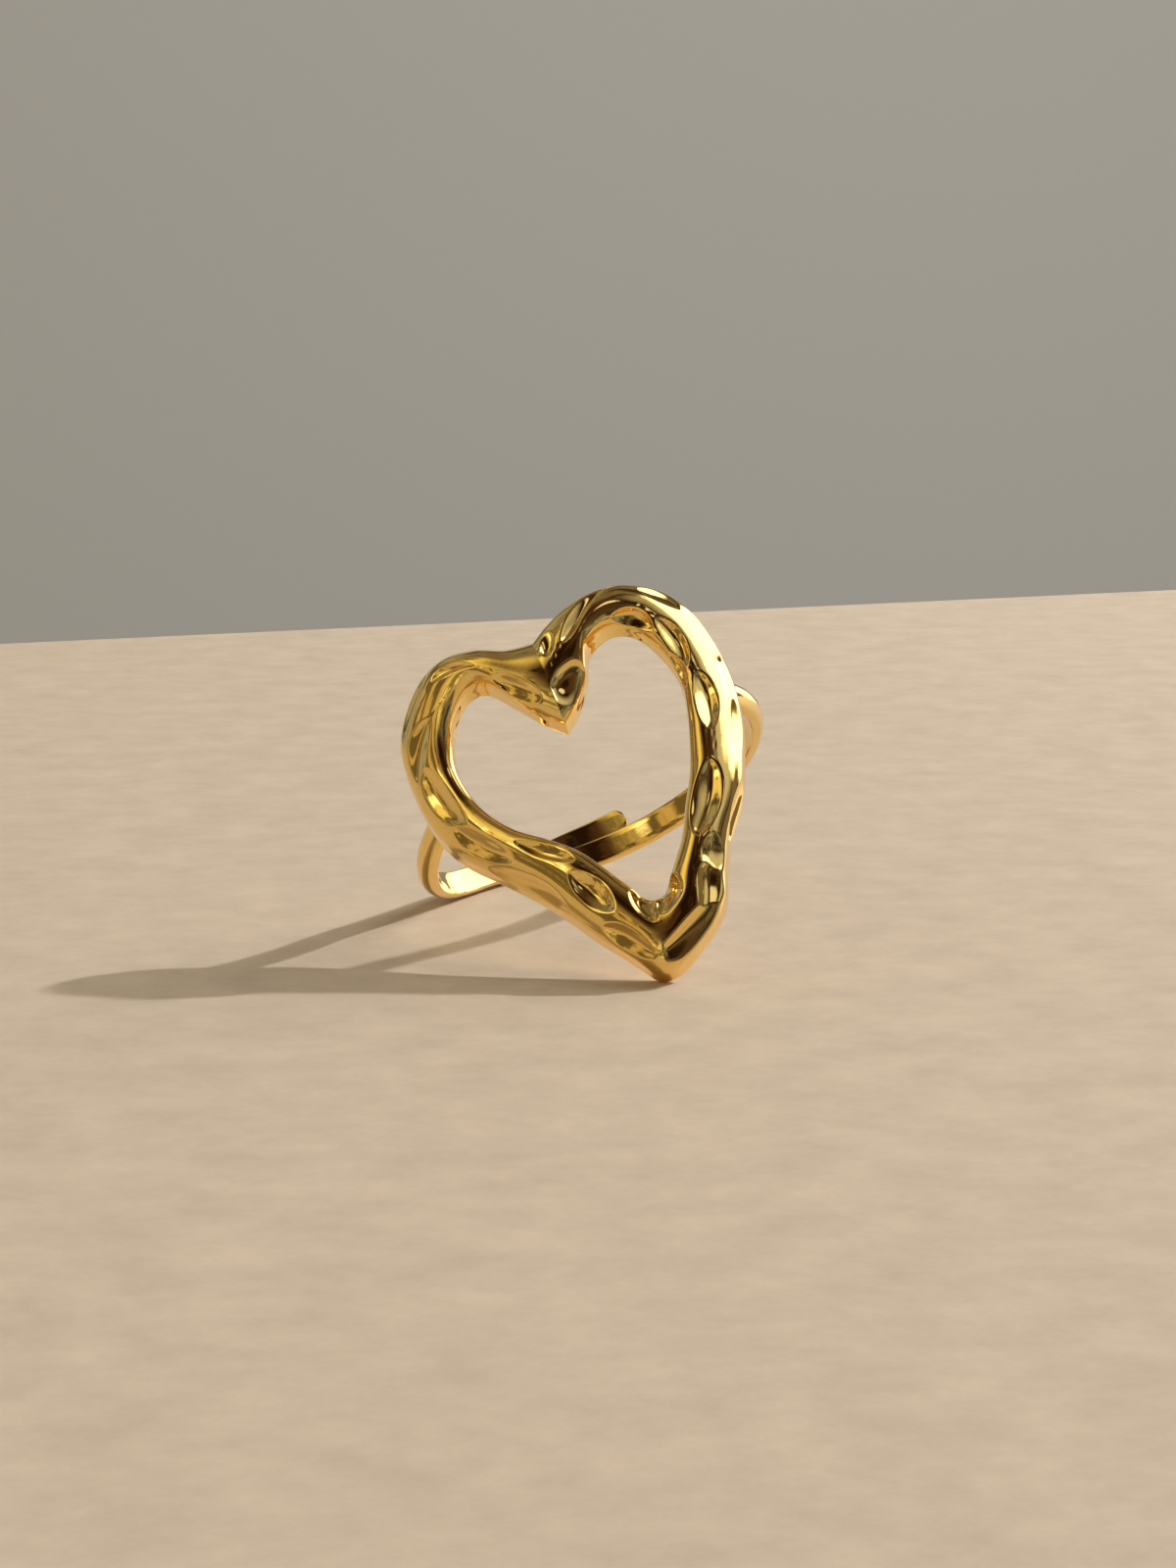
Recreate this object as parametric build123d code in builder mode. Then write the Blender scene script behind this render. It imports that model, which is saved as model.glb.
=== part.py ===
"""Open heart ring: a hammered heart frame cast in one with an open, adjustable band."""
import os
from collections import namedtuple
from math import cos, degrees, hypot, pi, radians, sin, sqrt

from build123d import *

# The ring is drawn in its own axes, in millimetres: X to the right, Y to the back,
# Z along the finger. The middle of the heart's back lies at Y = 0 and of the band at Z = 0.

# Heart frame
heart_width = 17.0
heart_height = 20.5
heart_depth = 2.2
wall_depth = 1.1
back_round = 0.45
dome_fullness = 0.85
core_depth = 0.88
tip_soft = 0.03
hollow_fullness = 0.7
root_along = 0.4

# Bow of the heart, which follows the finger: how far its sides lie behind its middle, and
# how far they lie up and to the right for each millimetre back
bow_depth = 2.5
bow_rise = 0.47
bow_right = 0.07

# Band
finger_radius = 9.1
finger_shift = 0.22
heart_to_finger = 2.3
bore_length = 8.0
edge_thickness = 0.48
band_crown = 0.42
band_width = 1.45
bore_stock = 0.03
root_depth = 0.9
root_flare = 0.35
root_flare_length = 6.0
end_round = 0.6

# Run of the arms, whose free ends pass side by side at the back, and what the ring rests on
right_height = 0.52
right_rise = 0.9
left_height = 0.0
left_end_height = 3.1
left_climb_start = 190.0
left_climb_sweep = 97.0
left_spread = 1.45
left_spread_start = 141.0
left_spread_sweep = 39.0
left_root_angle = 212.0
left_end_angle = 80.0
right_root_angle = -32.0
right_end_angle = 115.0
left_touch_angle = 145.0
right_touch_angle = 112.0
right_touch_below = 0.7
tip_touch_along = 0.988

# Fineness of the facets
steps_per_half = 84
dome_steps = 10
wall_steps = 2
arm_steps = 48
root_steps = 8
crown_steps = 6
end_steps = 6

# Outline of the heart, a row for each section across its frame, from the notch to the tip.
# x is a share of half the heart's width and z a share of its height.
Row = namedtuple("Row", "outer_x outer_z inner_x inner_z")
left_rows = [
    Row(0.024, 0.168, -0.024, -0.076),
    Row(-0.141, 0.183, -0.129, -0.022),
    Row(-0.306, 0.217, -0.229, 0.046),
    Row(-0.482, 0.229, -0.335, 0.112),
    Row(-0.659, 0.205, -0.459, 0.115),
    Row(-0.835, 0.139, -0.582, 0.071),
    Row(-0.959, 0.054, -0.671, 0.002),
    Row(-1.000, -0.063, -0.702, -0.073),
    Row(-0.982, -0.185, -0.665, -0.176),
    Row(-0.900, -0.276, -0.553, -0.259),
    Row(-0.741, -0.366, -0.400, -0.322),
    Row(-0.600, -0.449, -0.276, -0.380),
    Row(-0.494, -0.527, -0.188, -0.444),
    Row(-0.406, -0.600, -0.124, -0.502),
    Row(-0.294, -0.678, -0.076, -0.546),
    Row(-0.160, -0.784, -0.018, -0.582),
]
right_rows = [
    Row(0.024, 0.168, -0.024, -0.076),
    Row(0.141, 0.195, 0.088, -0.039),
    Row(0.306, 0.220, 0.206, 0.020),
    Row(0.482, 0.224, 0.288, 0.085),
    Row(0.659, 0.207, 0.441, 0.112),
    Row(0.835, 0.151, 0.576, 0.085),
    Row(0.953, 0.059, 0.659, 0.007),
    Row(0.988, -0.059, 0.688, -0.083),
    Row(0.971, -0.161, 0.641, -0.166),
    Row(0.912, -0.254, 0.565, -0.249),
    Row(0.818, -0.341, 0.482, -0.322),
    Row(0.700, -0.429, 0.376, -0.393),
    Row(0.529, -0.512, 0.271, -0.463),
    Row(0.424, -0.585, 0.153, -0.522),
    Row(0.271, -0.683, 0.065, -0.559),
    Row(-0.160, -0.784, -0.018, -0.582),
]

# Hammered hollows. side is -1 on the left half and 1 on the right. along is a share of the
# way from notch to tip, and around a share of the way from the crown to the outer (+) or
# inner (-) back edge. length is a share of the heart's height, width and depth of its depth,
# and skew is the turn of the hollow's long axis on the surface, in degrees.
Hollow = namedtuple("Hollow", "side along around length width depth skew")
hollows = [
    Hollow(-1, 0.222, 0.07, 0.135, 0.38, 0.10, 8),
    Hollow(-1, 0.094, -0.31, 0.150, 0.84, 0.17, 0),
    Hollow(1, 0.066, -0.44, 0.205, 0.92, 0.19, -20),
    Hollow(1, 0.160, 0.26, 0.180, 0.62, 0.18, 10),
    Hollow(1, 0.045, 0.42, 0.085, 0.60, 0.15, 0),
    Hollow(1, 0.325, -0.29, 0.125, 0.54, 0.15, 0),
    Hollow(1, 0.344, 0.28, 0.110, 0.38, 0.10, 0),
    Hollow(1, 0.418, -0.17, 0.130, 0.52, 0.15, -8),
    Hollow(1, 0.440, 0.34, 0.140, 0.48, 0.13, 0),
    Hollow(1, 0.462, -0.40, 0.095, 0.42, 0.12, 0),
    Hollow(1, 0.548, -0.08, 0.150, 0.60, 0.17, 6),
    Hollow(1, 0.622, 0.38, 0.145, 0.50, 0.14, 0),
    Hollow(1, 0.738, -0.08, 0.185, 0.82, 0.20, 2),
    Hollow(1, 0.755, 0.62, 0.125, 0.66, 0.15, 0),
    Hollow(1, 0.845, 0.22, 0.105, 0.58, 0.12, 14),
    Hollow(1, 0.903, 0.24, 0.115, 0.64, 0.17, 14),
    Hollow(1, 0.966, 0.36, 0.118, 0.64, 0.17, 0),
    Hollow(-1, 0.823, 0.00, 0.155, 0.68, 0.18, 4),
    Hollow(-1, 0.930, 0.36, 0.135, 0.60, 0.16, 0),
    Hollow(-1, 0.694, -0.20, 0.140, 0.50, 0.15, -6),
    Hollow(-1, 0.718, 0.47, 0.190, 0.58, 0.15, 0),
    Hollow(-1, 0.605, 0.18, 0.145, 0.60, 0.17, 6),
    Hollow(-1, 0.500, 0.06, 0.140, 0.62, 0.18, -4),
    Hollow(-1, 0.406, 0.10, 0.150, 0.50, 0.12, 20),
    Hollow(-1, 0.319, 0.34, 0.145, 0.38, 0.10, 0),
    Hollow(-1, 0.962, -0.42, 0.150, 0.84, 0.15, 0),
    Hollow(1, 0.950, -0.42, 0.150, 0.84, 0.15, 0),
]


def spline(rows, share):
    """Row at a share of the way along a table, on a smooth curve through its rows."""
    last = len(rows) - 1
    place = share * last
    index = min(int(place), last - 1)
    u = place - index
    b, c = rows[index], rows[index + 1]
    a = rows[index - 1] if index else [2 * p - q for p, q in zip(b, c)]
    d = rows[index + 2] if index + 2 <= last else [2 * q - p for p, q in zip(b, c)]
    return [
        0.5 * (2 * q + (r - p) * u + (2 * p - 5 * q + 4 * r - s) * u**2 + (3 * q - p - 3 * r + s) * u**3)
        for p, q, r, s in zip(a, b, c, d)
    ]


def edges(side, along):
    """Outer and inner edge of the frame as shares, with the tip's corner rounded off."""
    rows, others = (left_rows, right_rows) if side < 0 else (right_rows, left_rows)
    start = 1 - tip_soft
    if along <= start:
        return spline(rows, along)
    u = (along - start) / tip_soft / 2
    near, corner, far = spline(rows, start), rows[-1], spline(others, start)
    return [(1 - u) ** 2 * p + 2 * u * (1 - u) * q + u**2 * r for p, q, r in zip(near, corner, far)]


def frame_edges(side, along):
    """Outer and inner edge of the frame as (x, z), in millimetres."""
    outer_x, outer_z, inner_x, inner_z = edges(side, along)
    half = heart_width / 2
    return (outer_x * half, outer_z * heart_height), (inner_x * half, inner_z * heart_height)


def section(width):
    """Section of the frame as (across, y), from its inner back edge over the front."""
    rise = heart_depth - wall_depth
    wall = [-back_round - (wall_depth - back_round) * k / wall_steps for k in range(wall_steps)]
    corner = back_round * (1 - sqrt(0.5))
    dome = [
        (width * (1 - cos(pi * k / dome_steps)) / 2, -wall_depth - rise * sin(pi * k / dome_steps) ** dome_fullness)
        for k in range(dome_steps + 1)
    ]
    inner = [(back_round, 0.0), (corner, -corner)] + [(0.0, y) for y in wall]
    outer = [(width, y) for y in reversed(wall)] + [(width - corner, -corner), (width - back_round, 0.0)]
    return inner + dome + outer


def half_length(side):
    """Length of half the frame, measured along its middle."""
    middles = []
    for k in range(steps_per_half + 1):
        outer, inner = frame_edges(side, k / steps_per_half)
        middles.append(((outer[0] + inner[0]) / 2, (outer[1] + inner[1]) / 2))
    return sum(hypot(q[0] - p[0], q[1] - p[1]) for p, q in zip(middles, middles[1:]))


def sink(side, along, around, length):
    """Depth of the hollows at a place on the frame: almonds with a soft, round bottom."""
    deepest = 0.0
    for hollow in hollows:
        if hollow.side != side:
            continue
        run = (along - hollow.along) * length
        turn = radians(hollow.skew)
        over = around - hollow.around * (wall_depth + heart_depth)
        u = (run * cos(turn) + over * sin(turn)) / (hollow.length * heart_height / 2)
        v = (over * cos(turn) - run * sin(turn)) / (hollow.width * heart_depth / 2)
        lens = max(1 - u * u, 0.0) ** hollow_fullness
        if abs(v) < lens:
            deepest = max(deepest, hollow.depth * heart_depth * lens * (1 - (v / lens) ** 2))
    return deepest


def bowed(x, y, z):
    """A point carried back towards the heart's sides, so that the heart follows the finger."""
    back = bow_depth * (x / (heart_width / 2)) ** 2
    return (x + back * bow_right, y + back, z + back * bow_rise)


def frame_ring(side, along, length):
    """Points of one section of the frame in space, with the hollows pressed in."""
    (outer_x, outer_z), (inner_x, inner_z) = frame_edges(side, along)
    width = hypot(outer_x - inner_x, outer_z - inner_z)
    points = section(width)
    steps = [hypot(q[0] - p[0], q[1] - p[1]) for p, q in zip(points, points[1:])]
    crown = sum(steps) / 2
    core = (width / 2, -core_depth)
    ring = []
    arc = 0.0
    for k, (across, y) in enumerate(points):
        reach = hypot(core[0] - across, core[1] - y)
        share = sink(side, along, arc - crown, length) / reach if 2 < k < len(points) - 3 else 0.0
        across += (core[0] - across) * share
        y += (core[1] - y) * share
        at = across / width
        ring.append(bowed(inner_x + (outer_x - inner_x) * at, y, inner_z + (outer_z - inner_z) * at))
        arc += steps[k] if k < len(steps) else 0.0
    return ring


def heart_rings():
    """Every section in turn: down the left half, then up the right half."""
    lengths = {side: half_length(side) for side in (-1, 1)}
    places = [(-1, k / steps_per_half) for k in range(steps_per_half)]
    places += [(1, 1 - k / steps_per_half) for k in range(steps_per_half)]
    return [frame_ring(side, along, lengths[side]) for side, along in places]


def polygon(points):
    return Face(Wire.make_polygon(points, close=True))


def skin(rings, closed):
    """Triangles between each section and the next."""
    faces = []
    pairs = list(zip(rings, rings[1:] + rings[:1]))
    for ring, after in pairs if closed else pairs[:-1]:
        for k in range(len(ring) - 1):
            faces.append(polygon([ring[k], after[k], after[k + 1]]))
            faces.append(polygon([ring[k], after[k + 1], ring[k + 1]]))
    return faces


def heart_solid():
    """Closed faceted solid of the frame."""
    return Solid(Shell(skin([ring + ring[:1] for ring in heart_rings()], True)))


def ease(share):
    """Soft step from 0 to 1."""
    share = min(max(share, 0.0), 1.0)
    return share * share * (3 - 2 * share)


def arm_point(side, angle, radius_offset=0.0, height_offset=0.0):
    """Point on an arm's inner face. The angle runs from X towards Y, round the finger."""
    radius = finger_radius + radius_offset
    height = right_height + right_rise * angle / 100
    if side < 0:
        climb = ease((left_climb_start - angle) / left_climb_sweep)
        radius += left_spread * ease((left_spread_start - angle) / left_spread_sweep)
        height = left_height + (left_end_height - left_height) * climb
    turn = radians(angle)
    middle = finger_radius + heart_to_finger
    return (finger_shift + radius * cos(turn), middle + radius * sin(turn), height + height_offset)


def arm_ends(side):
    """Angles at which an arm leaves the heart and ends."""
    return (left_root_angle, left_end_angle) if side < 0 else (right_root_angle, right_end_angle)


def arm_axis(side):
    """Inner line of an arm, from inside the heart's frame, round the finger to its free end."""
    start, end = arm_ends(side)
    rounding = side * degrees(end_round / finger_radius)
    angles = [start + (end - rounding - start) * k / arm_steps for k in range(arm_steps)]
    angles += [end - rounding * (1 - sin(pi / 2 * k / end_steps)) for k in range(end_steps + 1)]
    curve = [arm_point(side, angle) for angle in angles]
    return root_line(side, curve[0], curve[1]) + curve


def root_line(side, join, after):
    """Line from inside the heart's frame that runs into an arm without a kink."""
    outer, inner = frame_edges(side, root_along)
    root_x, root_y, _ = bowed((outer[0] + inner[0]) / 2, -root_depth, 0)
    rise = join[1] - root_y
    slope = (after[0] - join[0]) / (after[1] - join[1]) * rise
    points = []
    for k in range(root_steps):
        t = k / root_steps
        away = 3 * t**2 - 2 * t**3
        across = root_x + (join[0] - root_x) * away + slope * (t**3 - t**2)
        points.append((across, root_y + rise * t, join[2]))
    return points


def arm_width(run, total):
    """Width of an arm at a run along it: flared at the root, half round at the end."""
    flare = root_flare * (1 - ease(run / root_flare_length))
    past = max(run - (total - end_round), 0.0)
    return band_width + flare - 2 * (end_round - sqrt(max(end_round**2 - past**2, 0.0)))


def arm_section(point, outward, width):
    """Section of an arm at a point: flat towards the finger, crowned outside."""
    x, y, z = point
    half = width / 2
    shape = [(-bore_stock, -half), (-bore_stock, half)]
    for k in range(crown_steps + 1):
        over = 1 - 2 * k / crown_steps
        shape.append((edge_thickness + band_crown * (1 - over**2), half * over))
    shape.append(shape[0])
    return [(x + outward[0] * u, y + outward[1] * u, z + v) for u, v in shape]


def arm_solid(side):
    """One arm of the band as a faceted solid."""
    axis = arm_axis(side)
    steps = [hypot(q[0] - p[0], q[1] - p[1]) for p, q in zip(axis, axis[1:])]
    rings = []
    for k, point in enumerate(axis):
        before, after = axis[max(k - 1, 0)], axis[min(k + 1, len(axis) - 1)]
        dx, dy = after[0] - before[0], after[1] - before[1]
        outward = (side * dy / hypot(dx, dy), -side * dx / hypot(dx, dy))
        rings.append(arm_section(point, outward, arm_width(sum(steps[:k]), sum(steps))))
    return Solid(Shell(skin(rings, False) + [polygon(rings[0][:-1]), polygon(rings[-1][:-1])]))


def rest_plane():
    """Plane that the ring rests on: under the heart's tip, the left arm and the right arm's end."""
    tip_point = Vector(*frame_ring(-1, tip_touch_along, half_length(-1))[-2])
    low = Vector(*arm_point(-1, left_touch_angle, edge_thickness, -band_width / 2))
    high = Vector(*arm_point(1, right_touch_angle, edge_thickness, -right_touch_below))
    up = (high - tip_point).cross(low - tip_point).normalized()
    along_x = Vector(1, 0, 0) - up * up.X
    return Plane(origin=tip_point, x_dir=along_x, z_dir=up)


def centred(shape):
    """The shape moved so that the middle of its underside is the origin."""
    box = shape.bounding_box()
    return shape.moved(Location((-box.center().X, -box.center().Y, -box.min.Z)))


with BuildPart() as band:
    add(arm_solid(-1))
    add(arm_solid(1))
    with Locations((finger_shift, finger_radius + heart_to_finger, 0)):
        Cylinder(finger_radius, bore_length, mode=Mode.SUBTRACT)

with BuildPart() as ring:
    add(heart_solid())
    add(band.part)

with BuildPart() as heart_ring:
    add(centred(rest_plane().to_local_coords(ring.part)))

heart_ring.part.label = "heart_ring"
os.makedirs("parts", exist_ok=True)
export_step(heart_ring.part, "parts/heart_ring.step")
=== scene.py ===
"""Looks of an open heart ring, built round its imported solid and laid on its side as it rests."""
from collections import namedtuple
from math import cos, degrees, hypot, pi, radians, sin, sqrt

import bpy
import numpy as np
from mathutils import Matrix, Vector
from mathutils.noise import noise as snoise


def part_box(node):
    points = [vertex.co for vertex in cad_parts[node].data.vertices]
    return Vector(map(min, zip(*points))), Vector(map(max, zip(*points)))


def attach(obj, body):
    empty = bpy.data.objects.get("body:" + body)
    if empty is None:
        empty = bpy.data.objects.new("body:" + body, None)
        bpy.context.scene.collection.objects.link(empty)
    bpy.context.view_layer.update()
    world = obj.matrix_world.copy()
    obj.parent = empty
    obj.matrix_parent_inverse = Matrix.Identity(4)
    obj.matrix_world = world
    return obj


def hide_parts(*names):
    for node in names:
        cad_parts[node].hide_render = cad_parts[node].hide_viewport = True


bl_info = {
    "name": "Open heart ring",
    "version": (1, 0, 0),
    "blender": (4, 5, 0),
    "location": "3D View > Sidebar > Heart ring",
    "description": "Makes a hammered heart ring on an open band, with a small studio round it",
    "category": "Object",
}

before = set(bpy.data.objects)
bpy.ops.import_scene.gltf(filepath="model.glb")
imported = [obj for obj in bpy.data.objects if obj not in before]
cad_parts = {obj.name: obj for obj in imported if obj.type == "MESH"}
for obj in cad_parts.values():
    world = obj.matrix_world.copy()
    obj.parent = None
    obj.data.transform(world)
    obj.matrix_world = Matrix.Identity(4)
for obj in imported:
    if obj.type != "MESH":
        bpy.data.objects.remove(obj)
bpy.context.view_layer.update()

MM = 0.001
SOLID = "heart_ring"

# The ring's own axes: X to the right, Y to the back, Z along the finger. The middle of the
# heart's back lies at Y = 0 and of the band at Z = 0.

# Outline of the heart, a row for each section across its frame, from the notch to the tip.
# x is a share of half the heart's width and z a share of its height.
Row = namedtuple("Row", "outer_x outer_z inner_x inner_z")
left_rows = [
    Row(0.024, 0.168, -0.024, -0.076),
    Row(-0.141, 0.183, -0.129, -0.022),
    Row(-0.306, 0.217, -0.229, 0.046),
    Row(-0.482, 0.229, -0.335, 0.112),
    Row(-0.659, 0.205, -0.459, 0.115),
    Row(-0.835, 0.139, -0.582, 0.071),
    Row(-0.959, 0.054, -0.671, 0.002),
    Row(-1.000, -0.063, -0.702, -0.073),
    Row(-0.982, -0.185, -0.665, -0.176),
    Row(-0.900, -0.276, -0.553, -0.259),
    Row(-0.741, -0.366, -0.400, -0.322),
    Row(-0.600, -0.449, -0.276, -0.380),
    Row(-0.494, -0.527, -0.188, -0.444),
    Row(-0.406, -0.600, -0.124, -0.502),
    Row(-0.294, -0.678, -0.076, -0.546),
    Row(-0.160, -0.784, -0.018, -0.582),
]
right_rows = [
    Row(0.024, 0.168, -0.024, -0.076),
    Row(0.141, 0.195, 0.088, -0.039),
    Row(0.306, 0.220, 0.206, 0.020),
    Row(0.482, 0.224, 0.288, 0.085),
    Row(0.659, 0.207, 0.441, 0.112),
    Row(0.835, 0.151, 0.576, 0.085),
    Row(0.953, 0.059, 0.659, 0.007),
    Row(0.988, -0.059, 0.688, -0.083),
    Row(0.971, -0.161, 0.641, -0.166),
    Row(0.912, -0.254, 0.565, -0.249),
    Row(0.818, -0.341, 0.482, -0.322),
    Row(0.700, -0.429, 0.376, -0.393),
    Row(0.529, -0.512, 0.271, -0.463),
    Row(0.424, -0.585, 0.153, -0.522),
    Row(0.271, -0.683, 0.065, -0.559),
    Row(-0.160, -0.784, -0.018, -0.582),
]

# Hammered hollows. side is -1 on the left half and 1 on the right. along is a share of the
# way from notch to tip, and around a share of the way from the crown to the outer (+) or
# inner (-) back edge. length is a share of the heart's height, width and depth of its depth,
# and skew is the turn of the hollow's long axis on the surface, in degrees.
Hollow = namedtuple("Hollow", "side along around length width depth skew")
hollows = [
    Hollow(-1, 0.222, 0.07, 0.135, 0.38, 0.10, 8),
    Hollow(-1, 0.094, -0.31, 0.150, 0.84, 0.17, 0),
    Hollow(1, 0.066, -0.44, 0.205, 0.92, 0.19, -20),
    Hollow(1, 0.160, 0.26, 0.180, 0.62, 0.18, 10),
    Hollow(1, 0.045, 0.42, 0.085, 0.60, 0.15, 0),
    Hollow(1, 0.325, -0.29, 0.125, 0.54, 0.15, 0),
    Hollow(1, 0.344, 0.28, 0.110, 0.38, 0.10, 0),
    Hollow(1, 0.418, -0.17, 0.130, 0.52, 0.15, -8),
    Hollow(1, 0.440, 0.34, 0.140, 0.48, 0.13, 0),
    Hollow(1, 0.462, -0.40, 0.095, 0.42, 0.12, 0),
    Hollow(1, 0.548, -0.08, 0.150, 0.60, 0.17, 6),
    Hollow(1, 0.622, 0.38, 0.145, 0.50, 0.14, 0),
    Hollow(1, 0.738, -0.08, 0.185, 0.82, 0.20, 2),
    Hollow(1, 0.755, 0.62, 0.125, 0.66, 0.15, 0),
    Hollow(1, 0.845, 0.22, 0.105, 0.58, 0.12, 14),
    Hollow(1, 0.903, 0.24, 0.115, 0.64, 0.17, 14),
    Hollow(1, 0.966, 0.36, 0.118, 0.64, 0.17, 0),
    Hollow(-1, 0.823, 0.00, 0.155, 0.68, 0.18, 4),
    Hollow(-1, 0.930, 0.36, 0.135, 0.60, 0.16, 0),
    Hollow(-1, 0.694, -0.20, 0.140, 0.50, 0.15, -6),
    Hollow(-1, 0.718, 0.47, 0.190, 0.58, 0.15, 0),
    Hollow(-1, 0.605, 0.18, 0.145, 0.60, 0.17, 6),
    Hollow(-1, 0.500, 0.06, 0.140, 0.62, 0.18, -4),
    Hollow(-1, 0.406, 0.10, 0.150, 0.50, 0.12, 20),
    Hollow(-1, 0.319, 0.34, 0.145, 0.38, 0.10, 0),
    Hollow(-1, 0.962, -0.42, 0.150, 0.84, 0.15, 0),
    Hollow(1, 0.950, -0.42, 0.150, 0.84, 0.15, 0),
]

# The band's two arms, by the angle round the finger from X towards Y, in degrees
Arm = namedtuple("Arm", "side root end")
arms = {"band_left_arm": Arm(-1, 212.0, 80.0), "band_right_arm": Arm(1, -32.0, 115.0)}
LEFT_CLIMB_START, LEFT_CLIMB_SWEEP = 190.0, 97.0
LEFT_SPREAD_START, LEFT_SPREAD_SWEEP = 141.0, 39.0
LEFT_TOUCH = 145.0
RIGHT_TOUCH, RIGHT_TOUCH_BELOW = 112.0, 0.7
TIP_TOUCH = 0.988
TIP_SOFT = 0.03
ROOT_PLACE = 0.4
HOLLOW_FULLNESS = 0.7
THINNEST_LENS = 1e-3
HOLLOW_FADE = 0.2 * MM

# Soft patches of light and dark in the room round the ring, each laid over those before it.
# azimuth and height say where a patch is, in degrees, inner and outer how far it is whole and
# where it ends, and cover how much of it is seen.
Patch = namedtuple("Patch", "azimuth height inner outer cover colour")
room_patches = [
    Patch(150, 20, 20, 60, 1.0, (0.36, 0.35, 0.31)),
    Patch(-160, 20, 16, 48, 0.9, (0.60, 0.46, 0.22)),
    Patch(-115, 12, 8, 28, 0.9, (1.0, 0.86, 0.45)),
    Patch(-152, 60, 8, 26, 0.9, (1.0, 0.86, 0.38)),
    Patch(-95, 62, 16, 34, 1.0, (0.06, 0.03, 0.018)),
    Patch(-50, 46, 10, 28, 0.95, (0.07, 0.04, 0.025)),
    Patch(-35, 12, 8, 30, 0.9, (0.28, 0.28, 0.26)),
    Patch(80, -2, 12, 50, 1.0, (0.70, 0.68, 0.64)),
]
window_patches = [
    Patch(-8, 50, 10, 24, 0.9, (0.70, 0.70, 0.66)),
    Patch(-153, 40, 2, 8, 1.0, (1.8, 1.7, 1.2)),
    Patch(-60, 66, 2, 6, 1.0, (1.0, 1.0, 1.0)),
    Patch(48, 4, 8, 22, 1.0, (1.8, 1.75, 1.6)),
    Patch(38, 20, 11, 19, 1.0, (3.0, 3.0, 2.9)),
    Patch(22, 38, 13, 20, 1.0, (3.2, 3.2, 3.1)),
    Patch(12, 53, 9, 15, 1.0, (3.0, 3.0, 2.9)),
]

# Noise patterns. scale is in features per metre, or across the room for the room's own, and
# low and high bound the stretch of the noise that is used.
Pattern = namedtuple("Pattern", "scale detail roughness low high")
GOLD_PATCHES = Pattern(260.0, 3.0, 0.5, 0.0, 1.0)
GOLD_WEAR = Pattern(900.0, 5.0, 0.6, 0.42, 0.75)
GOLD_RIPPLES = Pattern(1500.0, 2.0, 0.5, 0.0, 1.0)
FLOOR_MOTTLE = Pattern(260.0, 9.0, 0.72, 0.34, 0.66)
ROOM_MOTTLE = Pattern(3.4, 2.5, 0.6, 0.42, 0.56)
RIPPLE_HEIGHT = 0.05 * MM
FLOOR_LIGHTER = 1.2
ROOM_BASE = (0.18, 0.15, 0.11)
ROOM_DIMMEST, ROOM_BRIGHTEST = 0.28, 1.1

# The studio, in metres and degrees
KEY_AZIMUTH, KEY_HEIGHT = 21, 34.5
KEY_DISTANCE, KEY_SIZE = 0.70, 0.018
KEY_COLOUR = (0.93, 0.96, 1.0)
KEY_AIM = Vector((0.0, 0.0, 0.008))
FLOOR_HALF, FLOOR_EDGE = 0.7, 0.133
WALL_BACK = 0.75
WALL_LEFT, WALL_RIGHT = -0.25, 0.45
WALL_LOW, WALL_TOP = -0.25, 0.35
STUDIO_TURN = 9.9

# The camera, at the photographed angle
CAMERA_PLACE = Vector((-25.65, -181.815, 36.829)) * MM
CAMERA_RIGHT = Vector((0.99007, -0.14024, -0.00929))
CAMERA_AHEAD = Vector((0.137, 0.9778, -0.15852))
CAMERA_LENS, CAMERA_FILM = 83.7, 36.0

# Fineness of the meshes, and of what is measured on the heart
SECTIONS_PER_HALF = 360
COARSE_SECTIONS = 60
LENGTH_STEPS = 84
DOME_STEPS = 60
ROUND_STEPS = 6
WALL_STEPS = 4
BACK_STEPS = 8
ARM_STEPS = 180
ARM_ROOT_STEPS = 24
ARM_END_STEPS = 14


def length_property(name, description, default):
    return bpy.props.FloatProperty(
        name=name, description=description, default=default * MM, min=0.0, precision=5, unit="LENGTH"
    )


def colour_property(name, description, default):
    return bpy.props.FloatVectorProperty(
        name=name, description=description, default=default, size=3, min=0.0, max=1.0, subtype="COLOR"
    )


def factor_property(name, description, default, largest=1.0):
    return bpy.props.FloatProperty(
        name=name, description=description, default=default, min=0.0, max=largest, subtype="FACTOR"
    )


class HeartSizes(bpy.types.PropertyGroup):
    """Sizes of the heart's frame"""

    width: length_property("Width", "Width of the heart", 17.0)
    height: length_property("Height", "Height of the heart, notch and lobes included", 20.5)
    depth: length_property("Depth", "From the back to the crown of the dome", 2.2)
    wall: length_property("Wall", "Height of the upright side below the dome", 1.1)
    back_round: length_property("Back rounding", "Rounding where the sides meet the back", 0.45)
    bow: length_property("Bow", "How far the heart's sides lie behind its middle", 2.5)
    bow_rise: bpy.props.FloatProperty(
        name="Bow rise", description="Rise for each step that a side lies back", default=0.47, min=0.0
    )
    bow_right: bpy.props.FloatProperty(
        name="Bow right", description="Shift to the right for each step that a side lies back", default=0.07
    )
    wave: length_property("Waves", "Depth of the gentle waves left by the hammer", 0.09)
    wave_length: length_property("Wave length", "Size of the gentle waves", 2.6)
    core: length_property("Core", "Depth of the line towards which hollows are pressed", 0.88)
    fullness: factor_property("Fullness", "Power that shapes the dome; less is fuller", 0.85)
    ridge: factor_property("Ridge softness", "How soft a hollow's rim is, as a share of its depth", 0.12)


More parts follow.
